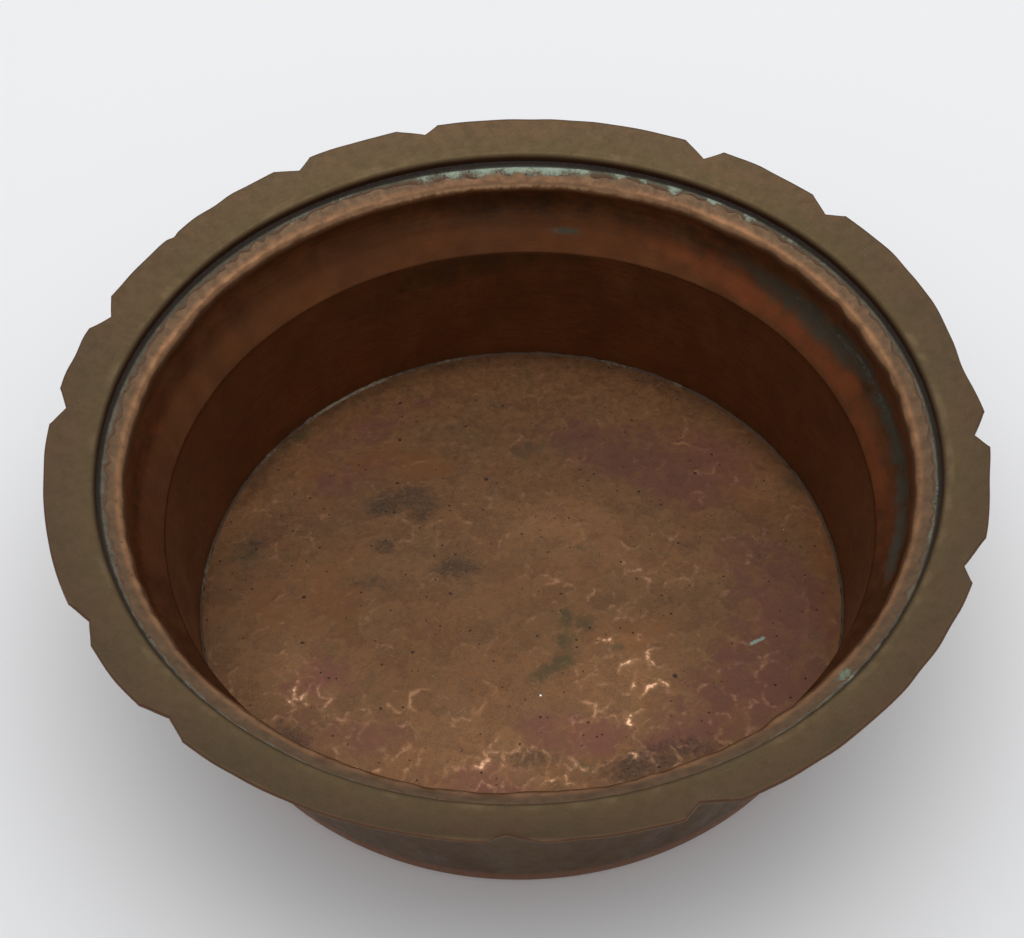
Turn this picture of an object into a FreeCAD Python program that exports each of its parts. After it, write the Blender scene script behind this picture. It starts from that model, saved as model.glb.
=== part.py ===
"""Hammered copper bowl: a scalloped rim, a shouldered upper band, a lower wall band and a
flat hammered base disc, lapped and soldered to each other.

Units are millimetres.  +Z is up, the origin is the centre of the standing face, and every
part but the scalloped edge of the rim is turned about the Z axis.  A section is drawn in
the XZ plane, where X is the radius.
"""

import FreeCAD, Part
import math
import os

# ---- driving dimensions -------------------------------------------------------------
RIM_RADIUS = 210.0            # out to the tips of the lobes
HEIGHT = 125.0                # standing face to the top of the rim's outer edge
SHEET = 1.6                   # rim, shoulder and wall
BASE_SHEET = 2.0              # the base disc is heavier
SOLDER_FILM = 0.3             # solder left between two lapped sheets
BASE_FILM = 0.4

# rim: a dished flange with its inner edge turned down into a collar
COLLAR_RADIUS = 189.0         # inside face of the collar
COLLAR_FOOT_DROP = 10.0       # rim edge down to the collar's foot
FLANGE_DISH = 4.5             # the outer edge stands this much above the inner edge
FLANGE_SAG = 0.5              # the flange's section is slightly hollow
COLLAR_BEND = 2.5             # top radius of the bend from flange to collar

# each notch of the rim: (direction in degrees from +X, depth); hand cut, so uneven
NOTCHES = (
    (41.0, 5.0), (61.0, 7.0), (102.0, 4.5), (121.0, 4.0), (158.0, 5.0), (174.5, 5.0),
    (209.0, 4.5), (226.0, 5.0), (267.5, 4.0), (289.0, 6.0), (336.0, 5.5), (357.0, 6.0),
)
NOTCH_HALF_WIDTH = 10.5       # corner to notch bottom, along the edge
FLANK_HOLLOW = 0.7            # how far each flank of a notch is curved in

# shoulder: an upturned collar, a ledge, a rounded ledge nose and a hollow belly
NOSE_RADIUS = 4.5
NOSE_INNER_RADIUS = 177.7     # the ledge's innermost point
NOSE_DROP = 18.9              # rim edge down to the centre of the nose
LEDGE_SLOPE = 22.0            # degrees, falling inward
LEDGE_BEND = 1.2              # inside radius where the ledge turns up into its collar
BELLY_RADIUS = 20.0
BELLY_SLOPE = 45.0            # degrees below level of the straight run under the belly
WAIST_RADIUS = 164.6          # the crisp inside edge at the waist
WAIST_DROP = 51.9             # rim edge down to the waist

# wall: a lap flared to fit the shoulder, a straight run, and a foot turned in
LAP_LENGTH = 9.0
LAP_BEND = 3.0
FLOOR_RADIUS = 158.5          # where the wall meets the floor
FOOT_BEND = 1.5               # inside radius of the turned-in foot
FOOT_INNER_RADIUS = 150.0

# solder fillets
RIM_FILLET = 1.8
WAIST_FILLET = 1.6
BASE_FILLET = 0.9
EDGE_GAP = 1.2                # base disc's edge to the wall

# ---- sizes worked out from them -----------------------------------------------------
FLOOR_Z = SHEET + BASE_FILM + BASE_SHEET
DISC_RADIUS = FLOOR_RADIUS - EDGE_GAP
NOSE_CENTRE = (NOSE_INNER_RADIUS + NOSE_RADIUS, HEIGHT - NOSE_DROP)
WAIST = (WAIST_RADIUS, HEIGHT - WAIST_DROP)
COLLAR_FOOT_Z = HEIGHT - COLLAR_FOOT_DROP
SHOULDER_COLLAR_RADIUS = COLLAR_RADIUS + SHEET + SOLDER_FILM
BLANK_MARGIN = 4.0            # the flange is turned oversize, then trimmed to its outline


def vec(point):
    """A section point (radius, height) as a 3-D vector."""
    return FreeCAD.Vector(point[0], 0.0, point[1])


def moved(point, direction_deg, distance):
    """The point reached by going a distance in a direction, counted from level outward."""
    angle = math.radians(direction_deg)
    return (point[0] + distance * math.cos(angle), point[1] + distance * math.sin(angle))


def line(start, end):
    return Part.LineSegment(vec(start), vec(end)).toShape()


def arc(start, middle, end):
    return Part.Arc(vec(start), vec(middle), vec(end)).toShape()


def arc_about(centre, radius, from_deg, to_deg):
    """An arc of a section, by its centre and the directions of its two ends."""
    ends = [moved(centre, angle, radius) for angle in (from_deg, (from_deg + to_deg) / 2, to_deg)]
    return arc(*ends)


def turned(face):
    """A section turned once round the Z axis."""
    solid = face.revolve(FreeCAD.Vector(0, 0, 0), FreeCAD.Vector(0, 0, 1), 360)
    return solid.removeSplitter()


def turned_polygon(points):
    wire = Part.makePolygon([vec(point) for point in points + points[:1]])
    return turned(Part.Face(wire))


def turned_section(edges):
    return turned(Part.Face(Part.Wire(edges)))


def crossing(point_a, direction_a, point_b, direction_b):
    """Where two section lines meet; directions in degrees."""
    ax, az = math.cos(math.radians(direction_a)), math.sin(math.radians(direction_a))
    bx, bz = math.cos(math.radians(direction_b)), math.sin(math.radians(direction_b))
    gap_x = point_b[0] - point_a[0]
    gap_z = point_b[1] - point_a[1]
    along = (gap_x * bz - gap_z * bx) / (ax * bz - az * bx)
    return moved(point_a, direction_a, along)


def direction(start, end):
    return math.degrees(math.atan2(end[1] - start[1], end[0] - start[0]))


# ---- rim ----------------------------------------------------------------------------
def rim_point(radius, angle_deg):
    angle = math.radians(angle_deg)
    return FreeCAD.Vector(radius * math.cos(angle), radius * math.sin(angle), 0)


def flank(corner_angle, notch_angle, depth):
    """The hollow flank between a lobe's corner and the bottom of a notch."""
    corner = rim_point(RIM_RADIUS, corner_angle)
    bottom = rim_point(RIM_RADIUS - depth, notch_angle)
    hollow_radius = RIM_RADIUS - depth / 2 - FLANK_HOLLOW
    return corner, rim_point(hollow_radius, (corner_angle + notch_angle) / 2), bottom


def rim_outline():
    """The scalloped edge: circular lobes between small notches with hollow flanks."""
    half_width = math.degrees(NOTCH_HALF_WIDTH / RIM_RADIUS)
    edges = []
    for index, (angle, depth) in enumerate(NOTCHES):
        next_angle = NOTCHES[(index + 1) % len(NOTCHES)][0]
        if next_angle < angle:
            next_angle += 360.0
        first, middle, bottom = flank(angle - half_width, angle, depth)
        edges.append(Part.Arc(first, middle, bottom).toShape())
        last, middle, bottom = flank(angle + half_width, angle, depth)
        edges.append(Part.Arc(bottom, middle, last).toShape())
        lobe_middle = rim_point(RIM_RADIUS, (angle + next_angle) / 2)
        lobe_end = rim_point(RIM_RADIUS, next_angle - half_width)
        edges.append(Part.Arc(last, lobe_middle, lobe_end).toShape())
    return Part.Face(Part.Wire(edges))


def flange_height(radius):
    """Height of the flange's top face, which is a shallow hollow arc in section."""
    inner = COLLAR_RADIUS + COLLAR_BEND
    share = (radius - inner) / (RIM_RADIUS - inner)
    return HEIGHT - FLANGE_DISH * (1 - share) - 4 * FLANGE_SAG * share * (1 - share)


def make_rim_flange():
    inner = COLLAR_RADIUS + COLLAR_BEND
    outer = RIM_RADIUS + BLANK_MARGIN
    middle = (inner + outer) / 2
    top = [(radius, flange_height(radius)) for radius in (inner, middle, outer)]
    under = [(radius, height - SHEET) for radius, height in top]
    bend_centre = (inner, top[0][1] - COLLAR_BEND)
    collar_outside = COLLAR_RADIUS + SHEET
    edges = [
        line((collar_outside, COLLAR_FOOT_Z), (COLLAR_RADIUS, COLLAR_FOOT_Z)),
        line((COLLAR_RADIUS, COLLAR_FOOT_Z), (COLLAR_RADIUS, bend_centre[1])),
        arc_about(bend_centre, COLLAR_BEND, 180, 90),
        arc(*top),
        line(top[-1], under[-1]),
        arc(*reversed(under)),
        arc_about(bend_centre, COLLAR_BEND - SHEET, 90, 180),
        line((collar_outside, bend_centre[1]), (collar_outside, COLLAR_FOOT_Z)),
    ]
    blank = turned_section(edges)
    trim = rim_outline().extrude(FreeCAD.Vector(0, 0, HEIGHT + BLANK_MARGIN))
    return blank.common(trim)


# ---- shoulder -----------------------------------------------------------------------
def belly_centre():
    """Centre of the belly arc, tangent to the nose and to the straight run above the waist."""
    start = moved(WAIST, 90 + BELLY_SLOPE, BELLY_RADIUS)
    reach = NOSE_RADIUS + BELLY_RADIUS
    slope = math.radians(BELLY_SLOPE)
    gap_x = NOSE_CENTRE[0] - start[0]
    gap_z = NOSE_CENTRE[1] - start[1]
    along = gap_x * math.cos(slope) + gap_z * math.sin(slope)
    across = gap_x * gap_x + gap_z * gap_z - along * along
    return moved(start, BELLY_SLOPE, along - math.sqrt(reach * reach - across))


def shoulder_face_edges(depth):
    """The shoulder's inside face (depth 0) or a parallel one, from collar top to waist."""
    belly = belly_centre()
    nose_radius = NOSE_RADIUS - depth
    belly_radius = BELLY_RADIUS + depth
    bend_radius = LEDGE_BEND + depth
    collar_x = SHOULDER_COLLAR_RADIUS + depth
    touch_angle = direction(NOSE_CENTRE, belly) + 360
    ledge_start = moved(NOSE_CENTRE, 90 + LEDGE_SLOPE, nose_radius)
    bend_x = SHOULDER_COLLAR_RADIUS - LEDGE_BEND
    ledge_level = moved(NOSE_CENTRE, 90 + LEDGE_SLOPE, NOSE_RADIUS + LEDGE_BEND)
    bend_centre = crossing(ledge_level, LEDGE_SLOPE, (bend_x, 0), 90)
    ledge_end = moved(bend_centre, LEDGE_SLOPE - 90, bend_radius)
    waist = moved(WAIST, BELLY_SLOPE - 90, depth)
    belly_end = moved(belly, BELLY_SLOPE - 90, belly_radius)
    collar_top = (collar_x, HEIGHT - FLANGE_DISH - COLLAR_BEND)
    return collar_top, waist, [
        line(collar_top, (collar_x, bend_centre[1])),
        arc_about(bend_centre, bend_radius, 0, LEDGE_SLOPE - 90),
        line(ledge_end, ledge_start),
        arc_about(NOSE_CENTRE, nose_radius, 90 + LEDGE_SLOPE, touch_angle),
        arc_about(belly, belly_radius, touch_angle - 180, BELLY_SLOPE - 90),
        line(belly_end, waist),
    ]


def make_shoulder_band():
    inside_top, inside_waist, inside = shoulder_face_edges(0)
    outside_top, outside_waist, outside = shoulder_face_edges(SHEET)
    ends = [line(inside_top, outside_top), line(inside_waist, outside_waist)]
    return turned(Part.Face(Part.Wire(Part.__sortEdges__(inside + outside + ends))))


# ---- wall ---------------------------------------------------------------------------
def wall_face_edges(depth):
    """The wall's inside face (depth 0) or its outside, from the lap's end to the foot's end."""
    lap_root = moved(WAIST, BELLY_SLOPE - 90, SHEET + SOLDER_FILM)
    slope = direction((FLOOR_RADIUS, FLOOR_Z), lap_root)
    lap_end = moved(moved(lap_root, BELLY_SLOPE, LAP_LENGTH), BELLY_SLOPE - 90, depth)
    bend_on_lap = moved(lap_root, BELLY_SLOPE - 90, LAP_BEND)
    bend_on_wall = moved(lap_root, slope - 90, LAP_BEND)
    lap_centre = crossing(bend_on_lap, BELLY_SLOPE, bend_on_wall, slope)
    lap_radius = LAP_BEND - depth
    foot_radius = FOOT_BEND + depth
    beside_wall = moved((FLOOR_RADIUS, FLOOR_Z), slope + 90, FOOT_BEND)
    foot_centre = crossing(beside_wall, slope, (0, SHEET + FOOT_BEND), 0)
    foot_end = (FOOT_INNER_RADIUS, SHEET - depth)
    return lap_end, foot_end, [
        line(lap_end, moved(lap_centre, BELLY_SLOPE + 90, lap_radius)),
        arc_about(lap_centre, lap_radius, BELLY_SLOPE + 90, slope + 90),
        line(moved(lap_centre, slope + 90, lap_radius), moved(foot_centre, slope - 90, foot_radius)),
        arc_about(foot_centre, foot_radius, slope - 90, -90),
        line(moved(foot_centre, -90, foot_radius), foot_end),
    ]


def make_wall_band():
    inside_lap, inside_foot, inside = wall_face_edges(0)
    outside_lap, outside_foot, outside = wall_face_edges(SHEET)
    ends = [line(inside_lap, outside_lap), line(inside_foot, outside_foot)]
    return turned(Part.Face(Part.Wire(Part.__sortEdges__(inside + outside + ends))))


# ---- base ---------------------------------------------------------------------------
def make_base_disc():
    """A heavy flat disc, dropped in on the foot of the wall."""
    under = FreeCAD.Vector(0, 0, SHEET + BASE_FILM)
    return Part.makeCylinder(DISC_RADIUS, BASE_SHEET, under)


# ---- solder -------------------------------------------------------------------------
def ledge_middle(radius):
    """A point at half the sheet's thickness under the ledge."""
    point = moved(NOSE_CENTRE, 90 + LEDGE_SLOPE, NOSE_RADIUS - SHEET / 2)
    return crossing(point, LEDGE_SLOPE, (radius, 0), 90)


def make_rim_solder(rim, shoulder):
    """Film between the two collars, a bead under the rim's foot and a fillet on the ledge."""
    top = HEIGHT - FLANGE_DISH - COLLAR_BEND
    fillet_foot = ledge_middle(COLLAR_RADIUS - RIM_FILLET)
    region = turned_polygon([
        ledge_middle(SHOULDER_COLLAR_RADIUS + SHEET / 2),
        fillet_foot,
        moved(fillet_foot, 90, SHEET),
        (COLLAR_RADIUS, COLLAR_FOOT_Z + RIM_FILLET / 2),
        (COLLAR_RADIUS + SHEET / 2, COLLAR_FOOT_Z + RIM_FILLET / 2),
        (COLLAR_RADIUS + SHEET / 2, top),
        (SHOULDER_COLLAR_RADIUS + SHEET / 2, top),
    ])
    return region.cut(rim).cut(shoulder)


def make_waist_solder(shoulder, wall):
    """Film in the lap at the waist, with a fillet along the lap's upper edge outside."""
    outward = BELLY_SLOPE - 90
    root = moved(WAIST, outward, SHEET / 2)
    end = moved(root, BELLY_SLOPE, LAP_LENGTH)
    through_the_lap = SHEET + SOLDER_FILM
    region = turned_polygon([
        root,
        moved(root, outward, through_the_lap),
        moved(end, outward, through_the_lap),
        moved(end, BELLY_SLOPE, WAIST_FILLET),
    ])
    return region.cut(shoulder).cut(wall)


def make_base_solder(wall, disc):
    """Film between foot and disc, filling the gap at the disc's edge up to a small fillet."""
    fillet_foot = DISC_RADIUS - BASE_FILLET
    in_wall = FLOOR_RADIUS + SHEET / 2
    in_disc = FLOOR_Z - BASE_SHEET / 2
    region = turned_polygon([
        (FOOT_INNER_RADIUS, SHEET / 2),
        (FLOOR_RADIUS, SHEET / 2),
        (in_wall, FLOOR_Z),
        (in_wall, FLOOR_Z + BASE_FILLET),
        (FLOOR_RADIUS, FLOOR_Z + BASE_FILLET),
        (fillet_foot, FLOOR_Z),
        (fillet_foot, in_disc),
        (FOOT_INNER_RADIUS, in_disc),
    ])
    return region.cut(wall).cut(disc)


def make_parts():
    rim = make_rim_flange()
    shoulder = make_shoulder_band()
    wall = make_wall_band()
    disc = make_base_disc()
    return {
        "rim_flange": rim,
        "shoulder_band": shoulder,
        "wall_band": wall,
        "base_disc": disc,
        "rim_solder": make_rim_solder(rim, shoulder),
        "waist_solder": make_waist_solder(shoulder, wall),
        "base_solder": make_base_solder(wall, disc),
    }


def main():
    os.makedirs("parts", exist_ok=True)
    for name, shape in make_parts().items():
        solid = shape.Solids[0]
        solid.exportStep("parts/%s.step" % name)
        print("%-14s solids %d, valid %s, volume %.0f mm3" % (
            name, len(shape.Solids), solid.isValid(), solid.Volume))


main()
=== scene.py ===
"""The looks of the hammered copper bowl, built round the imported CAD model.

The bowl turns about Z and stands on z = 0.  Every sheet is drawn as a section of (radius, height)
points in millimetres, from its outer or upper edge to its inner or lower one, and is turned round
the axis with the small unevenness of hand work.  Meshes are in metres.
"""

import math

import bpy
import numpy as np
from mathutils import Matrix, Vector


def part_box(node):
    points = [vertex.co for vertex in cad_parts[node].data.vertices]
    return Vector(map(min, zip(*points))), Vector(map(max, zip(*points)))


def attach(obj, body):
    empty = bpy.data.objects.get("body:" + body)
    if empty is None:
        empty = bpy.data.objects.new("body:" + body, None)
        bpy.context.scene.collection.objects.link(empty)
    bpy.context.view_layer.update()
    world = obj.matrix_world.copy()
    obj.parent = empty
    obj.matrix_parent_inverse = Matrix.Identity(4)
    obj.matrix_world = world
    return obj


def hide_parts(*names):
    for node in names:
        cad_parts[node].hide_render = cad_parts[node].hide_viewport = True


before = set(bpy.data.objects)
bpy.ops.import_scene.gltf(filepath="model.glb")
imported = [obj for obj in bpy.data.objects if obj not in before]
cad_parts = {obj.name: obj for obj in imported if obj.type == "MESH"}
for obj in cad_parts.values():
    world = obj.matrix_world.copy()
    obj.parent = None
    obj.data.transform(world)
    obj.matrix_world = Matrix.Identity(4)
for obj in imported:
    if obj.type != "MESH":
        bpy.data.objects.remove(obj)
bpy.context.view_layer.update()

MM = 0.001


def node_top(node):
    """Highest point of a CAD node, in millimetres."""
    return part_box(node)[1].z / MM


def node_radius(node):
    """Half of a CAD node's width, in millimetres."""
    low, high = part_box(node)
    return (high.x - low.x) / 2 / MM


# ---- driving dimensions, in millimetres ----
RIM_RADIUS = 210.0
HEIGHT = node_top("rim_flange")
SHEET = 1.6
COLLAR_RADIUS = 189.0
COLLAR_FOOT = HEIGHT - 10.0
COLLAR_BEND = 2.8
FLANGE_INNER = COLLAR_RADIUS + COLLAR_BEND
FLANGE_DISH = 5.2
FLANGE_SAG = 0.5
SHOULDER_COLLAR = node_radius("shoulder_band") - SHEET
NOSE_RADIUS = 4.5
NOSE = (182.2, HEIGHT - 18.9)
LEDGE_SLOPE = 22.0
LEDGE_BEND = 1.2
BELLY_RADIUS = 20.0
BELLY_SLOPE = 45.0
WAIST = (164.6, HEIGHT - 51.9)
LAP_GAP = 0.3
LAP_LENGTH = 9.0
LAP_BEND = 3.0
FLOOR_Z = node_top("base_disc")
FLOOR_RADIUS = 158.5
DISC_RADIUS = node_radius("base_disc")
DISC_SHEET = 2.0
FOOT_BEND = 1.5
FOOT_INNER = 150.0
EASED = 0.3                   # how far a cut edge is rubbed off
RIM_SHIFT = 0.7               # how far the rim lies off the axis
RIM_SHIFT_AWAY = 320.0        # the direction it is shifted away from, in degrees
FAR_SIDE = 92.0               # middle of the side opposite the near one, in degrees
SWELL = 1.5                   # how far the waist swells out and up
SWELL_AT = 48.0               # middle of that swelling, in degrees
SWELL_WIDTH = 30.0            # its half width, in degrees

# each notch of the rim: direction in degrees from +X, depth, width before and after in degrees
NOTCHES = (
    (41, 5, 2.4, 3.4), (61, 7, 2.2, 3.6), (102, 4.5, 2, 3.8), (121, 4, 2.2, 3.3),
    (158, 5, 2.8, 3.1), (174.5, 5, 2.9, 3.2), (209, 4.5, 3.1, 3.4), (226, 5, 3.3, 3.7),
    (267.5, 4, 2.1, 3.7), (289, 6, 2.4, 3.9), (336, 5.5, 2.4, 4.6), (357, 6, 2.3, 3.4),
)
# knocks and bulges of the lobes between them: direction, half width in degrees, depth
RIM_KNOCKS = (
    (7.5, 5, 2.9), (14, 4, 1.2), (349, 6, 1.3), (142, 0.7, 0.9), (32, 5, -0.5),
    (100, 5, -0.4), (132, 9, -0.5), (218, 5, -0.4), (252, 7, 0.5), (190, 6, 0.4),
)


# ---- sections ----
def turn_from(degrees, centre):
    """Signed turn from a direction, between -180 and 180 degrees."""
    return (degrees - centre + 180.0) % 360.0 - 180.0


def lobe(degrees, centre, half_width):
    """1 in one direction, falling off smoothly on both sides of it."""
    return np.exp(-(turn_from(degrees, centre) / half_width) ** 2)


def moved(point, direction_deg, distance):
    angle = math.radians(direction_deg)
    return (point[0] + distance * math.cos(angle), point[1] + distance * math.sin(angle))


def direction(start, end):
    return math.degrees(math.atan2(end[1] - start[1], end[0] - start[0]))


def crossing(point_a, direction_a, point_b, direction_b):
    """Where two section lines meet; directions in degrees."""
    ax, az = math.cos(math.radians(direction_a)), math.sin(math.radians(direction_a))
    bx, bz = math.cos(math.radians(direction_b)), math.sin(math.radians(direction_b))
    gap_x = point_b[0] - point_a[0]
    gap_z = point_b[1] - point_a[1]
    along = (gap_x * bz - gap_z * bx) / (ax * bz - az * bx)
    return moved(point_a, direction_a, along)


def straight(start, end, step=1.5):
    count = max(1, round(math.dist(start, end) / step))
    return [tuple(np.array(start) + (np.array(end) - start) * i / count) for i in range(count + 1)]


def bend(centre, radius, from_deg, to_deg, step=15.0):
    count = max(2, round(abs(to_deg - from_deg) / step))
    return [moved(centre, from_deg + (to_deg - from_deg) * i / count, radius) for i in range(count + 1)]


def joined(*stretches):
    points = []
    for stretch in stretches:
        for point in stretch:
            if not points or math.dist(point, points[-1]) > 0.05:
                points.append(point)
    return np.array(points)


def unit(rows):
    return rows / np.linalg.norm(rows, axis=1, keepdims=True)


class Sheet:
    """The closed section of a sheet, worked out from the points of its inner face."""

    def __init__(self, inner, thickness):
        tangent = unit(np.gradient(inner, axis=0))
        normal = np.column_stack((-tangent[:, 1], tangent[:, 0]))
        outer = inner + normal * thickness
        run = np.concatenate(([0.0], np.cumsum(np.linalg.norm(np.diff(inner, axis=0), axis=1))))
        first = self.cut_end(inner[0], normal[0], thickness)
        last = self.cut_end(inner[-1], normal[-1], thickness)
        inner = inner.copy()
        outer = outer.copy()
        for face in (inner, outer):
            face[0] += tangent[0] * EASED
            face[-1] -= tangent[-1] * EASED
        self.points = np.vstack((first[::-1], inner, last, outer[::-1]))
        self.normal = np.vstack((normal[[0, 0]], normal, normal[[-1, -1]], normal[::-1]))
        self.run = np.concatenate((run[[0, 0]], run, run[[-1, -1]], run[::-1]))
        count = len(inner)
        self.outside = np.concatenate(([1, 0], np.zeros(count), [0, 1], np.ones(count)))
        self.cut = np.concatenate(([1, 1], np.zeros(count), [1, 1], np.zeros(count)))
        self.length = run[-1]

    @staticmethod
    def cut_end(corner, normal, thickness):
        """The two points of a cut edge, between its eased corners."""
        return np.array([corner + normal * EASED, corner + normal * (thickness - EASED)])


def around(count, extra=()):
    """Directions round the bowl in radians, evenly spaced, with some more put in."""
    angles = np.concatenate((np.arange(count) * 360.0 / count, np.array(extra, float) % 360.0))
    angles = np.sort(angles)
    keep = np.concatenate(([True], np.diff(angles) > 0.02))
    return np.radians(angles[keep])


def ripple(angles, lowest, highest, seed):
    """An uneven wave of strength 1 that closes on itself round the bowl."""
    rng = np.random.default_rng(seed)
    counts = np.arange(lowest, highest + 1)
    phases = rng.uniform(0, 2 * np.pi, counts.size)
    sizes = rng.uniform(0.3, 1.0, counts.size)
    wave = (sizes[:, None] * np.cos(counts[:, None] * angles + phases[:, None])).sum(axis=0)
    return wave / wave.std()


def bumps(angles, run, lowest, highest, wavelength, seed):
    """A dented field over (direction, distance along the section), strength about 1."""
    rng = np.random.default_rng(seed)
    field = np.zeros((angles.size, run.size))
    for _ in range(24):
        count = rng.integers(lowest, highest + 1)
        across = rng.uniform(-1, 1) * 2 * np.pi / wavelength
        phase = rng.uniform(0, 2 * np.pi)
        field += np.cos(count * angles[:, None] + across * run[None, :] + phase)
    return field / field.std()


# ---- meshes ----
def new_object(name, vertices, faces):
    mesh = bpy.data.meshes.new(name)
    mesh.from_pydata(vertices.tolist(), [], faces)
    mesh.validate()
    mesh.update()
    mesh.shade_smooth()
    piece = bpy.data.objects.new(name, mesh)
    bpy.context.scene.collection.objects.link(piece)
    return piece


def ring_mesh(name, angles, radius, height):
    """A closed ring: radius and height hold one closed section per direction."""
    rows, columns = radius.shape
    x = radius * np.cos(angles)[:, None]
    y = radius * np.sin(angles)[:, None]
    vertices = np.stack((x, y, height), axis=2).reshape(-1, 3) * MM
    row = np.arange(rows)[:, None]
    column = np.arange(columns)[None, :]
    next_row = (row + 1) % rows
    next_column = (column + 1) % columns
    corners = (row * columns + column, row * columns + next_column,
               next_row * columns + next_column, next_row * columns + column)
    faces = np.stack(np.broadcast_arrays(*corners), axis=2).reshape(-1, 4)
    return new_object(name, vertices, faces.tolist())


def turned(name, section, angles, push, near_waist):
    """A sheet turned round the axis; push moves it along its normal, per direction and point."""
    swell = np.outer(waist_swell(angles), near_waist) * math.sqrt(0.5)
    radius = section.points[:, 0] + push * section.normal[:, 0] + swell
    height = section.points[:, 1] + push * section.normal[:, 1] + swell
    return ring_mesh(name, angles, radius, height)


def paint(piece, name, values):
    """Stores a number per vertex for the materials to read."""
    attribute = piece.data.attributes.new(name, "FLOAT", "POINT")
    attribute.data.foreach_set("value", np.asarray(values, np.float32).ravel())


def paint_section(piece, section, angles):
    shape = (angles.size, section.run.size)
    paint(piece, "outside", np.broadcast_to(section.outside, shape))
    paint(piece, "cut", np.broadcast_to(section.cut, shape))
    paint(piece, "along", np.broadcast_to(section.run / section.length, shape))


def vertex_columns(piece):
    points = np.zeros(len(piece.data.vertices) * 3, np.float32)
    piece.data.vertices.foreach_get("co", points)
    return points.reshape(-1, 3).T / MM


def blots(x, y, places):
    """How strongly a point is stained, 0 to 1; each place is (x, y, half sizes, turn, strength)."""
    clear = np.ones_like(x)
    for centre_x, centre_y, long, short, turn, strength in places:
        angle = math.radians(turn)
        u = (x - centre_x) * math.cos(angle) + (y - centre_y) * math.sin(angle)
        v = (y - centre_y) * math.cos(angle) - (x - centre_x) * math.sin(angle)
        clear *= 1 - strength * np.exp(-(u / long) ** 2 - (v / short) ** 2)
    return 1 - clear


def band_blots(angle_deg, height, places):
    """Stains on a band; each place is (direction, half width in degrees, height, half, strength)."""
    clear = np.ones(angle_deg.shape)
    for centre, half_angle, level, half_height, strength in places:
        turn = turn_from(angle_deg, centre)
        clear *= 1 - strength * np.exp(-(turn / half_angle) ** 2 - ((height - level) / half_height) ** 2)
    return 1 - clear


def ring_blots(angle_deg, places):
    """Stains along a seam; each place is (direction, half width in degrees, strength)."""
    clear = np.ones(angle_deg.shape)
    for centre, half_angle, strength in places:
        clear *= 1 - strength * lobe(angle_deg, centre, half_angle)
    return 1 - clear


def far_share(angles, width):
    """1 at the middle of the far side, falling off over a width in degrees."""
    return lobe(np.degrees(angles), FAR_SIDE, width)


def waist_swell(angles):
    """How far the waist stands out and up on the right of the far side."""
    return SWELL * lobe(np.degrees(angles), SWELL_AT, SWELL_WIDTH)


# ---- rim ----
def rim_outline(angles):
    """Radius of the rim's cut edge: lobes between notches with hollow flanks, and knocks."""
    degrees = np.degrees(angles)
    outline = RIM_RADIUS - RIM_SHIFT * np.cos(angles - math.radians(RIM_SHIFT_AWAY))
    for centre, half_width, depth in RIM_KNOCKS:
        outline -= depth * lobe(degrees, centre, half_width)
    outline += 0.12 * ripple(angles, 20, 60, 11)
    for centre, depth, before, after in NOTCHES:
        turn = turn_from(degrees, centre)
        share = np.where(turn < 0, 1 + turn / before, 1 - turn / after).clip(0, 1)
        outline -= depth * (0.86 * share + 0.14 * np.sqrt(share))
    return outline


def flange_height(radius):
    """Height of the flange's upper face, a shallow hollow arc in section."""
    share = (radius - FLANGE_INNER) / (RIM_RADIUS - FLANGE_INNER)
    return HEIGHT - FLANGE_DISH * (1 - share) - 4 * FLANGE_SAG * share * (1 - share)


def make_rim():
    """The dished, scalloped flange and the collar turned down inside it."""
    level = flange_height(FLANGE_INNER) - COLLAR_BEND
    flange = straight((RIM_RADIUS, 0), (FLANGE_INNER, 0), 1.1)
    flange = [(radius, flange_height(radius)) for radius, _ in flange]
    turn_down = bend((FLANGE_INNER, level), COLLAR_BEND, 90, 180, 12.0)
    collar = straight((COLLAR_RADIUS, level), (COLLAR_RADIUS, COLLAR_FOOT), 1.2)
    section = Sheet(joined(flange, turn_down, collar), SHEET)
    corners = [c for centre, _, before, after in NOTCHES for c in (centre - before, centre, centre + after)]
    angles = around(1440, corners)
    outline = rim_outline(angles)
    over = (section.points[:, 0] - FLANGE_INNER).clip(0, None) / (RIM_RADIUS - FLANGE_INNER)
    radius = section.points[:, 0] + over * (outline[:, None] - RIM_RADIUS)
    drop = flange_height(section.points[:, 0]) - flange_height(radius)
    height = section.points[:, 1] - drop * (over > 0)
    wave = 0.28 * bumps(angles, section.run, 3, 14, 90.0, 21)
    wave = wave + 0.05 * bumps(angles, section.run, 30, 90, 14.0, 22)
    lift = 0.35 * ripple(angles, 2, 9, 23)[:, None] * over ** 2
    radius = radius + 0.5 * wave * section.normal[:, 0]
    height = (height + (wave - lift) * section.normal[:, 1] * over).clip(None, HEIGHT + 0.3)
    piece = ring_mesh("rim", angles, radius, height)
    paint_section(piece, section, angles)
    paint(piece, "edge", np.exp(-(outline[:, None] - radius) / 0.8) * (over > 0))
    return piece


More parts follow.
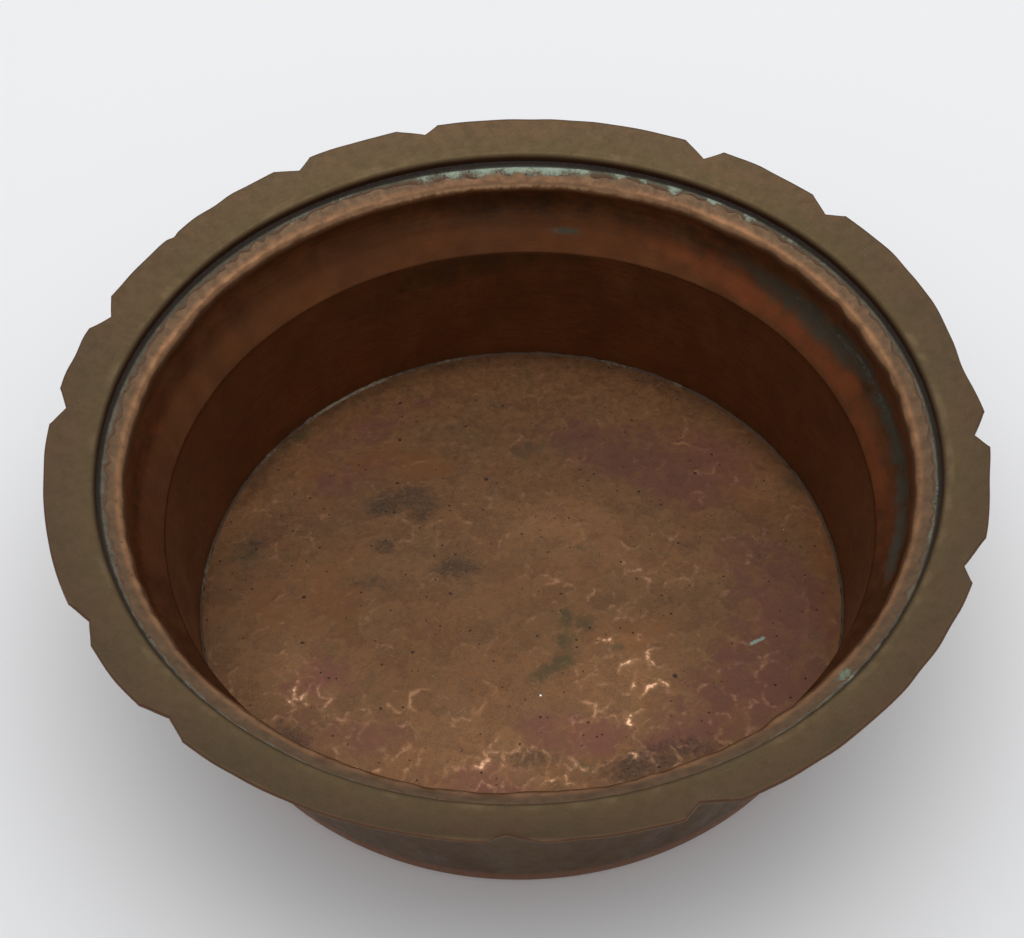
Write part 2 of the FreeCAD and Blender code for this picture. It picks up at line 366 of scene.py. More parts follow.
# ---- shoulder ----
# each place is (direction, half width in degrees, height, half height, strength)
SHOULDER_STAINS_AND_SHADE = {
    "streak": (
        (50, 6, 90, 5, 0.5), (42, 6, 89.5, 6.5, 0.85), (34, 6, 88.5, 7, 1.0), (27, 6, 89.5, 7, 1.0),
        (20, 6, 91, 5.5, 1.0), (12, 6, 89, 5, 1.0), (4, 6, 88, 5, 1.0), (356, 6, 86.5, 4.5, 1.0),
        (349, 5, 84, 4, 0.9), (343, 5, 82, 3.5, 0.8), (80.5, 3.4, 82, 1.8, 0.9), (62, 8, 94, 4, 0.35),
    ),
    "scrape": (
        (36, 4, 91, 2.0, 0.6), (27, 5, 90, 2.2, 0.8), (20, 5, 90.5, 2.4, 1.0), (11, 5, 88.5, 2.2, 0.85),
        (2, 4, 88, 2.2, 0.6), (82.4, 0.9, 82, 1.1, 1.0),
    ),
    # painted shade under the nose, strongest on the far side, with real staining in it
    "shade_and_stain": (
        (92, 24, 98, 8, 0.75), (88, 26, 88, 9, 0.45), (50, 26, 98, 7, 0.5), (56, 12, 90, 8, 0.5),
        (20, 22, 100, 5, 0.35), (140, 20, 103, 4, 0.3), (16, 26, 84.5, 2.6, 0.55),
    ),
    "red": (
        (172, 28, 89, 12, 0.55), (208, 14, 88, 10, 0.45),
        (58, 9, 83, 5, 0.8), (46, 8, 80, 5, 1.0), (35, 7, 79, 4, 0.8), (24, 7, 78, 4, 1.0),
        (20, 5, 82, 3, 0.8), (10, 8, 77, 4, 0.8), (0, 8, 77, 5, 0.8), (348, 10, 78, 5, 0.5),
        (70, 8, 86, 5, 0.5), (52, 5, 88, 3, 0.7),
    ),
    "green": (
        (99, 9, 113, 1.6, 0.6), (86, 8, 113, 1.6, 0.8), (76, 5, 113, 1.4, 0.6),
        (40, 9, 113, 1.6, 0.4), (352, 10, 113, 1.4, 0.3), (315.5, 1.8, 111.5, 1.6, 0.7),
        (160, 25, 113, 1.8, 0.3), (124, 6, 113, 1.4, 0.4),
    ),
}


def belly_centre():
    """Centre of the belly arc, tangent to the nose and to the straight run above the waist."""
    start = moved(WAIST, 90 + BELLY_SLOPE, BELLY_RADIUS)
    reach = NOSE_RADIUS + BELLY_RADIUS
    slope = math.radians(BELLY_SLOPE)
    gap_x = NOSE[0] - start[0]
    gap_z = NOSE[1] - start[1]
    along = gap_x * math.cos(slope) + gap_z * math.sin(slope)
    across = gap_x * gap_x + gap_z * gap_z - along * along
    return moved(start, BELLY_SLOPE, along - math.sqrt(reach * reach - across))


def ledge_height(radius):
    """Height of the ledge's face at a radius."""
    point = moved(NOSE, 90 + LEDGE_SLOPE, NOSE_RADIUS)
    return point[1] + (radius - point[0]) * math.tan(math.radians(LEDGE_SLOPE))


def shoulder_section():
    belly = belly_centre()
    touch = direction(NOSE, belly) + 360
    ledge_end = moved(NOSE, 90 + LEDGE_SLOPE, NOSE_RADIUS)
    ledge_level = moved(NOSE, 90 + LEDGE_SLOPE, NOSE_RADIUS + LEDGE_BEND)
    centre = crossing(ledge_level, LEDGE_SLOPE, (SHOULDER_COLLAR - LEDGE_BEND, 0), 90)
    collar_top = (SHOULDER_COLLAR, HEIGHT - FLANGE_DISH - COLLAR_BEND)
    return Sheet(joined(
        straight(collar_top, (SHOULDER_COLLAR, centre[1]), 2.0),
        bend(centre, LEDGE_BEND, 0, LEDGE_SLOPE - 90, 22.0),
        straight(moved(centre, LEDGE_SLOPE - 90, LEDGE_BEND), ledge_end, 1.2),
        bend(NOSE, NOSE_RADIUS, 90 + LEDGE_SLOPE, touch, 10.0),
        bend(belly, BELLY_RADIUS, touch - 180, BELLY_SLOPE - 90, 4.0),
        straight(moved(belly, BELLY_SLOPE - 90, BELLY_RADIUS), WAIST, 1.5),
    ), SHEET)


def make_shoulder():
    """The upper band: collar, ledge, hammered nose and hollow belly."""
    section = shoulder_section()
    angles = around(960)
    nose_tip = NOSE[0] - NOSE_RADIUS
    nose_run = section.run[np.argmin(np.abs(section.points[:, 0] - nose_tip) + 99 * section.outside)]
    on_nose = np.exp(-((section.run - nose_run) / 5.0) ** 2)
    on_belly = ((section.run - nose_run - 3.0) / 6.0).clip(0, 1)
    ends = (section.length - section.run).clip(0, 6) / 6.0
    push = 0.16 * ripple(angles, 30, 75, 31)[:, None] * on_nose
    push = push + 0.30 * ripple(angles, 5, 24, 32)[:, None] * on_nose
    push = push + 0.16 * bumps(angles, section.run, 20, 60, 45.0, 33) * on_belly * ends
    push = push * (section.run > nose_run - 9.0)
    on_ledge = ((section.run - 6.0) / 1.5).clip(0, 1) * (1 - section.outside)
    on_ledge = on_ledge * ((nose_run - 2.0 - section.run) / 2.0).clip(0, 1)
    push = push + 0.12 * bumps(angles, section.run, 40, 110, 9.0, 34) * on_ledge
    near_waist = ((section.run - section.length + 22.0) / 22.0).clip(0, 1) ** 2
    piece = turned("shoulder", section, angles, push, near_waist)
    paint_section(piece, section, angles)
    far = far_share(angles, 30.0)[:, None]
    from_nose = section.run[None, :] - nose_run
    # painted highlight: the nose, also worn smooth, is lighter along a band that moves and dims towards the
    # far side; bright adds a painted glint on the far side
    wear_and_highlight = np.exp(-((from_nose + 4.4 - 1.2 * far) / 3.2) ** 2) * (1 - 0.55 * far)
    bright = np.exp(-((from_nose + 1.7) / 1.4) ** 2) * far
    paint(piece, "nose", wear_and_highlight * (1 - section.outside))
    paint(piece, "bright", bright * (1 - section.outside))
    x, y, z = vertex_columns(piece)
    angle = np.degrees(np.arctan2(y, x))
    for name, places in SHOULDER_STAINS_AND_SHADE.items():
        paint(piece, name, band_blots(angle, z, places))
    return piece


# ---- wall ----
def wall_section():
    lap_root = moved(WAIST, BELLY_SLOPE - 90, SHEET + LAP_GAP)
    slope = direction((FLOOR_RADIUS, FLOOR_Z), lap_root)
    lap_end = moved(lap_root, BELLY_SLOPE, LAP_LENGTH)
    bend_on_lap = moved(lap_root, BELLY_SLOPE - 90, LAP_BEND)
    bend_on_wall = moved(lap_root, slope - 90, LAP_BEND)
    lap_centre = crossing(bend_on_lap, BELLY_SLOPE, bend_on_wall, slope)
    beside_wall = moved((FLOOR_RADIUS, FLOOR_Z), slope + 90, FOOT_BEND)
    foot_centre = crossing(beside_wall, slope, (0, SHEET + FOOT_BEND), 0)
    return Sheet(joined(
        straight(lap_end, moved(lap_centre, BELLY_SLOPE + 90, LAP_BEND), 1.5),
        bend(lap_centre, LAP_BEND, BELLY_SLOPE + 90, slope + 90, 10.0),
        straight(moved(lap_centre, slope + 90, LAP_BEND), moved(foot_centre, slope - 90, FOOT_BEND), 2.5),
        bend(foot_centre, FOOT_BEND, slope - 90, -90, 15.0),
        straight((foot_centre[0], SHEET), (FOOT_INNER, SHEET), 3.0),
    ), SHEET)


def make_wall():
    """The lower band, lapped over the shoulder above and turned in under the disc below."""
    section = wall_section()
    angles = around(900)
    straight_part = ((section.run - 14.0) / 12.0).clip(0, 1) * ((70.0 - section.run) / 12.0).clip(0, 1)
    push = 0.30 * bumps(angles, section.run, 12, 44, 60.0, 41) * straight_part
    push = push + 0.22 * ripple(angles, 3, 9, 42)[:, None] * straight_part
    near_waist = ((45.0 - section.run) / 35.0).clip(0, 1)
    piece = turned("wall", section, angles, push, near_waist)
    paint_section(piece, section, angles)
    x, y, z = vertex_columns(piece)
    # painted shade darkening the wall, strongest on the far side, with staining in it
    paint(piece, "shade_and_stain", band_blots(np.degrees(np.arctan2(y, x)), z, (
        (99, 15, 68, 14, 0.9), (82, 12, 72, 6, 0.5), (112, 10, 52, 12, 0.5), (60, 8, 40, 10, 0.4),
        (20, 10, 60, 16, 0.3), (150, 12, 40, 14, 0.35), (178, 8, 64, 10, 0.4), (330, 12, 50, 14, 0.3),
    )))
    return piece


# ---- floor ----
GRID = 0.4                    # spacing of the hammered relief, in mm
STRIKE_PITCH = 8.8
# each place is (x, y, half sizes, turn, strength): where the rims of the marks get a painted sheen and
# painted glints, a small pale flake, and the stains, with painted pools of light among them
SHEEN_PLACES = (
    (55, -45, 34, 22, -60, 1.0), (45, -85, 26, 24, 0, 0.9), (-108, -62, 34, 22, -40, 0.85),
    (-10, -108, 70, 16, 0, 0.9), (-52, -70, 26, 20, 0, 0.7), (60, 5, 50, 24, 10, 0.55),
    (-40, 40, 60, 22, -25, 0.4), (110, 70, 50, 26, -50, 0.45), (95, -70, 40, 30, 40, 0.45),
    (-125, 30, 26, 60, 0, 0.35), (0, 95, 90, 26, 0, 0.25),
)
FLAKE = ((112, -37, 4.2, 1.1, 30, 1.0), (116, -35, 1.8, 1.0, 30, 0.9))
FLOOR_STAINS_AND_LIGHT = {
    # painted light: pools where the floor's colour is made up to 1.55 times lighter, mostly on the near
    # side
    "painted_light_pools": (
        (18, 38, 44, 26, 0, 0.55), (-20, -98, 90, 28, 0, 0.8), (48, -56, 30, 34, 0, 0.7),
        (-104, -48, 36, 26, -40, 0.6), (70, 10, 40, 16, 0, 0.35), (-30, 0, 60, 30, 0, 0.25),
        (0, -60, 60, 30, 0, 0.4),
    ),
    "mauve": (
        (130, -20, 30, 40, 10, 0.9), (95, -62, 42, 24, 35, 0.8), (60, 80, 46, 20, -15, 0.85),
        (104, 82, 26, 16, -40, 0.8), (-88, 72, 30, 14, 25, 0.7), (-75, 108, 46, 12, 30, 0.75),
        (-98, -52, 20, 16, 0, 0.9), (-75, -84, 26, 12, 0, 0.8), (8, -80, 16, 13, 0, 0.85),
        (32, -88, 20, 12, 10, 0.9), (-20, -112, 26, 14, 0, 0.9), (-130, 30, 14, 26, 0, 0.5),
        (-85, -5, 24, 12, 0, 0.4), (70, -92, 26, 12, 20, 0.8), (-110, -84, 22, 12, -40, 0.7),
        (110, 20, 26, 16, 0, 0.6), (40, 100, 40, 14, 0, 0.6), (88, 58, 30, 16, -20, 0.7),
        (118, -70, 20, 26, 30, 0.8),
    ),
    "dark": (
        (-70, 54, 11, 9, 0, 1.0), (-56, 60, 12, 8, 20, 1.0), (-50, 47, 9, 6, 20, 0.8),
        (-69, 28, 8, 6, 0, 0.95), (-32, 13, 13, 8, 0, 1.0), (-44, 56, 10, 6, 0, 0.7),
        (-76, 5, 14, 7, 0, 0.7), (119, 14, 9, 8, 0, 0.6), (84, 22, 14, 9, 0, 0.5),
        (50, -104, 22, 10, 25, 1.0), (3, -98, 16, 8, 0, 0.8), (-109, -82, 16, 9, -40, 0.7),
        (-28, -92, 14, 8, 0, 0.5), (-136, 30, 10, 16, 0, 0.6), (-8, 120, 12, 4, 0, 0.6),
        (-34, 104, 8, 4, 0, 0.6), (75, -98, 20, 10, 20, 0.8), (129, -46, 4, 8, 10, 0.5),
        (-100, 60, 8, 4, 0, 0.5), (72, -10, 12, 7, 0, 0.5), (-120, -12, 8, 6, 0, 0.4),
    ),
    "green": (
        (21, -18, 5, 5, 0, 1.0), (20, -32, 6, 10, 0, 0.8), (18, -46, 9, 6, 20, 1.0),
        (9, -53, 9, 5, 20, 0.8), (31, -23, 7, 7, 0, 0.8), (46, -38, 7, 4, 10, 0.7),
        (26, 20, 14, 8, 0, 0.4), (13, 89, 34, 14, 0, 0.55), (-115, 102, 16, 7, 45, 0.7),
        (-136, 25, 12, 18, 0, 0.6), (64, 20, 16, 12, 0, 0.45), (-30, 104, 30, 10, 0, 0.4),
        (60, 100, 18, 8, 0, 0.4), (142, 60, 12, 9, -60, 0.6), (60, -15, 12, 8, 0, 0.5),
        (-110, -80, 7, 5, 0, 0.6), (28, -104, 12, 7, 0, 0.6), (103, 78, 8, 5, 0, 0.4),
    ),
    "warm": (
        (-48, 80, 22, 14, 0, 0.9), (-95, 0, 26, 40, 0, 0.7), (-80, 84, 22, 8, 25, 0.8),
        (152, 20, 8, 46, -5, 0.9), (-130, -10, 16, 26, 0, 0.6), (60, -30, 26, 20, 0, 0.6),
        (-60, 120, 60, 14, 12, 0.5), (110, 60, 16, 40, 40, 0.6), (-112, 72, 14, 8, 40, 0.7),
        (20, 100, 60, 10, 0, 0.5), (0, -30, 60, 34, 0, 0.35), (150, -30, 7, 30, 5, 0.8),
    ),
}


def strike_places(rng):
    """Hammer blows in uneven rings, worked over twice."""
    places = []
    for start in (0.0, 0.45):
        for row in np.arange(start, (DISC_RADIUS - 2.0) / STRIKE_PITCH, 0.92):
            ring = row * STRIKE_PITCH
            count = max(1, round(2 * math.pi * ring / STRIKE_PITCH))
            for angle in np.arange(count) * 2 * math.pi / count + rng.uniform(0, 6.3):
                jitter = rng.normal(0, 1.6, 2)
                places.append((ring * math.cos(angle) + jitter[0], ring * math.sin(angle) + jitter[1]))
    return rng.permutation(np.array(places))


def hammered_relief():
    """The floor on a square grid: relief, the marks' worn rims with painted highlight, each mark's tone."""
    rng = np.random.default_rng(7)
    axis = np.arange(-DISC_RADIUS - 8, DISC_RADIUS + 8, GRID)
    relief = np.zeros((axis.size, axis.size))
    marks = np.zeros_like(relief)
    tone = np.full_like(relief, 0.5)
    for x, y in strike_places(rng):
        size = rng.uniform(4.8, 7.2)
        depth = rng.uniform(0.04, 0.15)
        lit = rng.uniform(0, 2 * math.pi)
        reach = int((size + 2.0) / GRID)
        column = int((x - axis[0]) / GRID)
        row = int((y - axis[0]) / GRID)
        rows = slice(max(row - reach, 0), row + reach)
        columns = slice(max(column - reach, 0), column + reach)
        window = (rows, columns)
        gap_x = axis[columns][None, :] - x
        gap_y = axis[rows][:, None] - y
        way = np.arctan2(gap_y, gap_x)
        away = np.sqrt(gap_x ** 2 + gap_y ** 2) * (1 + 0.05 * np.cos(2 * way + lit))
        inside = ((size + 0.4 - away) / 0.8).clip(0, 1)
        inside = inside * inside * (3 - 2 * inside) * 0.8
        old = relief[window]
        level = old[away < size].mean()
        dish = level - depth + depth * 0.7 * (away / size) ** 2
        lip = 0.022 * np.exp(-((away - size - 0.4) / 0.6) ** 2)
        relief[window] = old * (1 - inside) + dish * inside + lip
        # painted highlight: each rim is lighter on the side facing lit, a direction drawn at random for
        # each blow
        facing = (0.45 + 0.55 * np.cos(way - lit)).clip(0.05, 1)
        line = 0.60 * np.exp(-((away - size) / 0.9) ** 2) + 0.42 * np.exp(-((away - size) / 2.6) ** 2)
        line = line * facing * (0.25 + 0.75 * rng.uniform(0, 1) ** 1.6)
        marks[window] = np.maximum(marks[window] * (1 - 0.7 * inside), line)
        tone[window] = tone[window] * (1 - inside) + rng.uniform(0, 1) * inside
    return axis[0], relief - relief.mean(), marks, tone


def looked_up(grid, start, x, y):
    """Values of a square grid at points, blended between the four nearest."""
    u = ((x - start) / GRID).clip(0, grid.shape[0] - 1.01)
    v = ((y - start) / GRID).clip(0, grid.shape[0] - 1.01)
    column, row = u.astype(int), v.astype(int)
    s, t = u - column, v - row
    lower = grid[row, column] * (1 - s) + grid[row, column + 1] * s
    upper = grid[row + 1, column] * (1 - s) + grid[row + 1, column + 1] * s
    return lower * (1 - t) + upper * t


def stitched(inner_start, inner_count, outer_start, outer_count):
    """Triangles between two rings of vertices with different counts."""
    faces = []
    i, j = 0, 0
    while i < inner_count or j < outer_count:
        inner = inner_start + i % inner_count
        outer = outer_start + j % outer_count
        if (j + 1) * inner_count <= (i + 1) * outer_count and j < outer_count:
            faces.append((inner, outer, outer_start + (j + 1) % outer_count))
            j += 1
        else:
            faces.append((inner, outer, inner_start + (i + 1) % inner_count))
            i += 1
    return faces


def wander(x, y, seed):
    """A smooth random field of strength 1, with waves 5 to 14 mm long."""
    rng = np.random.default_rng(seed)
    field = np.zeros_like(x)
    for _ in range(14):
        way = rng.uniform(0, 2 * math.pi)
        length = rng.uniform(5.0, 14.0)
        along = x * math.cos(way) + y * math.sin(way)
        field += np.cos(2 * math.pi * along / length + rng.uniform(0, 2 * math.pi))
    return field / field.std()


def round_plate(rings, radius, first):
    """Vertices and triangles of a flat round plate of even triangles, and its edge ring."""
    points = [(0.0, 0.0)]
    faces = []
    start, count = first, 1
    for ring in range(1, rings + 1):
        turn = np.arange(6 * ring) * 2 * math.pi / (6 * ring)
        reach = radius * ring / rings
        points.extend(zip(reach * np.cos(turn), reach * np.sin(turn)))
        faces.extend(stitched(start, count, start + count, 6 * ring))
        start, count = start + count, 6 * ring
    return np.array(points), [face for face in faces if len(set(face)) == 3], start, count


def make_floor():
    """The heavy base disc: hammered above, and faintly dented below."""
    start, relief, marks, tone = hammered_relief()
    top, top_faces, top_edge, top_count = round_plate(170, DISC_RADIUS, 0)
    under, under_faces, under_edge, under_count = round_plate(50, DISC_RADIUS, len(top))
    fade = ((DISC_RADIUS - np.hypot(*top.T)) / 2.5).clip(0.15, 1)
    slow = 0.25 * np.sin(top[:, 0] / 31.0 + 1.0) * np.cos(top[:, 1] / 27.0)
    top_z = FLOOR_Z - 0.15 + (looked_up(relief, start, *top.T) + slow) * fade
    fade = ((DISC_RADIUS - np.hypot(*under.T)) / 14.0).clip(0, 1)
    under_z = FLOOR_Z - DISC_SHEET + 0.6 * looked_up(relief, start, *under.T) * fade
    vertices = np.vstack((np.column_stack((top, top_z)), np.column_stack((under, under_z)))) * MM
    faces = top_faces + [face[::-1] for face in under_faces]
    faces += [face[::-1] for face in stitched(top_edge, top_count, under_edge, under_count)]
    piece = new_object("floor", vertices, faces)
    x, y, z = vertex_columns(piece)
    upper = z > FLOOR_Z - 1.2
    strayed_x, strayed_y = x + 0.7 * wander(x, y, 91), y + 0.7 * wander(x, y, 92)
    paint(piece, "marks", looked_up(marks, start, strayed_x, strayed_y) * upper)
    paint(piece, "tone", looked_up(tone, start, strayed_x, strayed_y))
    paint(piece, "rim_side", (np.hypot(x, y) / DISC_RADIUS).clip(0, 1) * ((y + 60) / 120).clip(0, 1))
    # painted sheen: where the rims of the marks are made stronger and lighter, and glint
    paint(piece, "sheen_zone", blots(x, y, SHEEN_PLACES) * upper)
    for name, places in FLOOR_STAINS_AND_LIGHT.items():
        paint(piece, name, blots(x, y, places))
    paint(piece, "flake", blots(x, y, FLAKE) * upper)
    return piece


# ---- solder ----
def make_rim_seam():
    """The crumbly deposit in the corner of the ledge, which has gone green."""
    angles = around(1440)
    degrees = np.degrees(angles)
    thick = ring_blots(degrees, (
        (98, 9, 0.9), (86, 9, 1.0), (76, 4, 0.8), (63, 4, 0.3), (40, 10, 0.4),
        (352, 9, 0.3), (180, 26, 0.5), (315, 3, 0.3), (140, 12, 0.3),
    ))
    width = 1.8 + 2.2 * thick + 0.45 * ripple(angles, 40, 150, 51) + 0.35 * ripple(angles, 8, 40, 52)
    width = width.clip(0.8, 4.6)
    body = (0.35 + 0.45 * thick + 0.14 * ripple(angles, 60, 200, 53)).clip(0.12, 1.2)
    corner = ((0.0, 1.3), (0.33, 0.45), (0.73, 0.12))
    deposit = ((0.0, 0.2), (0.10, 0.8), (0.25, 1.0), (0.45, 0.8), (0.70, 0.4), (1.0, 0.0))
    radius, height = [], []
    gap = 1.5 + 1.0 * far_share(angles, 20.0)
    for share, rise in corner:
        radius.append(COLLAR_RADIUS - share * gap)
        height.append(ledge_height(radius[-1]) + rise)
    for share, rise in deposit:
        reach = COLLAR_RADIUS - gap - share * width
        rough = 0.10 * ripple(angles, 100, 320, 60 + len(radius)) * math.sin(math.pi * share)
        radius.append(reach)
        height.append(ledge_height(reach) + 0.06 + rise * body + rough)
    inner = COLLAR_RADIUS - gap - width
    radius.append(inner - 0.1)
    height.append(ledge_height(inner) - 0.4)
    behind = np.full(angles.size, COLLAR_RADIUS + 0.5)
    radius.append(behind)
    height.append(ledge_height(behind) - 0.4)
    radius.append(behind)
    height.append(ledge_height(behind) + 1.3)
    piece = ring_mesh("rim_seam", angles, np.array(radius).T, np.array(height).T)
    mint = ring_blots(degrees, (
        (103.5, 2.0, 0.75), (99, 2.5, 0.85), (94, 2.6, 0.9), (89, 3.5, 1.0),
        (83, 3.5, 1.0), (78.5, 1.6, 0.9), (72.5, 2.0, 0.85), (68.5, 1.0, 0.8),
        (63.5, 1.4, 0.95), (57, 2.0, 0.9), (50.5, 1.4, 0.8), (43, 2.5, 0.5),
        (36, 3, 0.4), (350, 4, 0.45), (342, 2.5, 0.45), (315, 1.6, 0.6),
        (117, 4, 0.5), (125, 3, 0.45), (163, 5, 0.3), (176, 4, 0.35),
    ))
    paint(piece, "mint", np.outer(mint, np.ones(len(radius))))
    # painted shade: the deposit turns near black where it meets the collar, in the collar's shadow
    root = (1.0, 1.0, 0.95, 0.5, 0, 0, 0, 0, 0, 0, 1.0, 1.0)
    paint(piece, "root", np.outer(np.ones(angles.size), root))
    fade = (0, 0, 0, 0, 0, 0.1, 0.35, 0.75, 1.0, 1.0, 0, 0)
    paint(piece, "fade", np.outer(np.ones(angles.size), fade))
    return piece


def bead(name, corner, legs, count, lump, seed, swell=0.0):
    """A ring of solder that fills a corner; legs are its reach along each of two directions."""
    angles = around(count)
    corner = np.array(corner)[:, None] + swell * math.sqrt(0.5) * waist_swell(angles)
    (first_way, first_leg), (second_way, second_leg) = legs
    size = 1 + lump * ripple(angles, 20, 120, seed)
    size = size.clip(0.5, 1.6)
    radius, height = [], []
    for share in np.linspace(0, 1, 6):
        a = np.array(moved((0, 0), first_way, first_leg)) * (1 - share) ** 1.4
        b = np.array(moved((0, 0), second_way, second_leg)) * share ** 1.4
        rough = 1 + 0.5 * lump * ripple(angles, 60, 240, seed + 1 + len(radius))
        radius.append(corner[0] + (a + b)[0] * size * rough.clip(0.6, 1.4))
        height.append(corner[1] + (a + b)[1] * size * rough.clip(0.6, 1.4))
    middle = np.array(moved((0, 0), first_way, 1)) + np.array(moved((0, 0), second_way, 1))
    behind = corner - 0.35 * middle[:, None]
    radius.append(behind[0])
    height.append(behind[1])
    return ring_mesh(name, angles, np.array(radius).T, np.array(height).T)


def make_waist_seam():
    """Solder that shows along the upper edge of the lap, outside."""
    lap_end = moved(moved(WAIST, BELLY_SLOPE - 90, SHEET + LAP_GAP), BELLY_SLOPE, LAP_LENGTH)
    return bead("waist_seam", lap_end, ((BELLY_SLOPE, 1.6), (BELLY_SLOPE - 90, 1.5)), 900, 0.18, 71, 1.0)


def make_base_seam():
    """The crumbly line of solder and deposit round the floor, pale in places."""
    piece = bead("base_seam", (FLOOR_RADIUS, FLOOR_Z - 0.3), ((180, 1.5), (88, 1.0)), 1200, 0.22, 81)
    x, y, _ = vertex_columns(piece)
    paint(piece, "pale", ring_blots(np.degrees(np.arctan2(y, x)), (
        (125, 14, 0.85), (148, 6, 0.5), (175, 10, 0.5), (70, 4, 0.6),
        (103, 4, 0.4), (56, 3, 0.5),
    )))
    return piece


# ---- materials ----
class Look:
    """Short calls that build the nodes of one procedural metal."""

    def __init__(self, name, metallic):
        self.material = bpy.data.materials.new(name)
        self.material.use_nodes = True
        self.tree = self.material.node_tree
        self.shader = self.tree.nodes["Principled BSDF"]
        self.put(self.shader.inputs["Metallic"], metallic)
        self.place = self.node("TexCoord")["Object"]

    def put(self, socket, value):
        """Links a socket to another one, or sets its value."""
        if isinstance(value, bpy.types.NodeSocket):
            self.tree.links.new(value, socket)
        elif socket.type == "RGBA":
            socket.default_value = (*value, 1.0)
        else:
            socket.default_value = value

    def node(self, kind, inputs=None, **settings):
        """The outputs of a new node, with its settings made and its inputs put in."""
        made = self.tree.nodes.new("ShaderNode" + kind)
        for name, value in settings.items():
            setattr(made, name, value)
        for socket, value in (inputs or {}).items():
            self.put(made.inputs[socket], value)
        return made.outputs

    def math(self, operation, a, b):
        return self.node("Math", {0: a, 1: b}, operation=operation)[0]

    def times(self, a, b):
        return self.math("MULTIPLY", a, b)

    def plus(self, a, b):
        return self.math("ADD", a, b)

    def most(self, a, b):
        return self.math("MAXIMUM", a, b)

    def ramp(self, value, low, high, to_low=0.0, to_high=1.0):
        """Goes smoothly from to_low to to_high as the value goes from low to high."""
        ends = {"Value": value, "From Min": low, "From Max": high, "To Min": to_low, "To Max": to_high}
        return self.node("MapRange", ends, interpolation_type="SMOOTHSTEP")["Result"]

    def mix(self, share, a, b):
        return self.node("Mix", {"Factor": share, 6: a, 7: b}, data_type="RGBA")[2]

    def layered(self, colour, layers):
        """Lays more colours over the first one; each layer is (mask, strength, colour)."""
        for mask, strength, over in layers:
            colour = self.mix(self.times(mask, strength), colour, over)
        return colour

    def scaled(self, colour, factor):
        """A colour made lighter or darker by a factor."""
        return self.node("VectorMath", {0: colour, "Scale": factor}, operation="SCALE")[0]

    def painted(self, name):
        return self.node("Attribute", attribute_name=name)["Fac"]

    def noise(self, size, detail=3.0, roughness=0.55, distortion=0.0, at=None):
        """Noise whose features are about size millimetres across."""
        inputs = {"Vector": at or self.place, "Scale": 1 / (size * MM), "Detail": detail,
                  "Roughness": roughness, "Distortion": distortion}
        return self.node("TexNoise", inputs)["Fac"]

    def spots(self, pitch, size, share):
        """Small round spots: pitch between them, largest size in mm, and the share of places used."""
        wobble = self.node("TexNoise", {"Vector": self.place, "Scale": 1 / (size * MM), "Detail": 2.0})
        offset = self.scaled(wobble["Color"], size * 0.7 * MM)
        strayed = self.node("VectorMath", {0: self.place, 1: offset}, operation="ADD")[0]
        cells = self.node("TexVoronoi", {"Vector": strayed, "Scale": 1 / (pitch * MM)})
        picked = self.node("SeparateColor", {0: cells["Color"]})
        chosen = self.math("LESS_THAN", picked[0], share)
        reach = self.times(picked[1], size / pitch)
        away = self.math("DIVIDE", cells["Distance"], self.plus(reach, 0.001))
        return self.times(self.ramp(away, 0.35, 0.6, 1.0, 0.0), chosen)

    def rings(self, size, blend):
        """Turning lines: noise over radius and height only, broken up by a wider noise."""
        level = self.node("SeparateXYZ", {0: self.place})[2]
        flat = self.node("VectorMath", {0: self.place, 1: (1, 1, 0)}, operation="MULTIPLY")[0]
        reach = self.node("VectorMath", {0: flat}, operation="LENGTH")["Value"]
        stray = self.times(self.noise(60.0, 1.0), blend * MM)
        return self.noise(size, 2.0, 0.6, at=self.node("CombineXYZ", {0: reach, 1: level, 2: stray})[0])

    def scratches(self, width, length, turn, amount):
        """Fine straight scratches in one direction."""
        grain = {"Vector": self.place, "Rotation": (0, 0, math.radians(turn)),
                 "Scale": (length / width, 1.0, 1.0)}
        at = self.node("Mapping", grain, vector_type="TEXTURE")["Vector"]
        return self.ramp(self.noise(width, 1.0, 0.5, 0.0, at), 1 - amount, 1 - amount + 0.05)

    def uneven(self, mask, size, spread=0.9, low=0.35, high=0.65):
        """A painted mask with a ragged edge."""
        wobble = self.times(self.plus(self.noise(size, 4.0, 0.65), -0.5), spread)
        return self.ramp(self.plus(mask, wobble), low, high)

    def grainy(self, mask, size):
        """A painted mask that breaks up softly at every scale from size down to fine grain."""
        wobble = self.times(self.plus(self.noise(size, 8.0, 0.72), -0.5), 1.7)
        return self.ramp(self.plus(mask, self.times(wobble, self.ramp(mask, 0.0, 0.3))), 0.30, 0.95)

    def finish(self, colour, roughness, height=None, depth=0.0):
        self.put(self.shader.inputs["Base Color"], colour)
        self.put(self.shader.inputs["Roughness"], roughness)
        if height is not None:
            relief = {"Strength": 1.0, "Distance": depth * MM, "Height": height}
            self.put(self.shader.inputs["Normal"], self.node("Bump", relief)["Normal"])
        return self.material


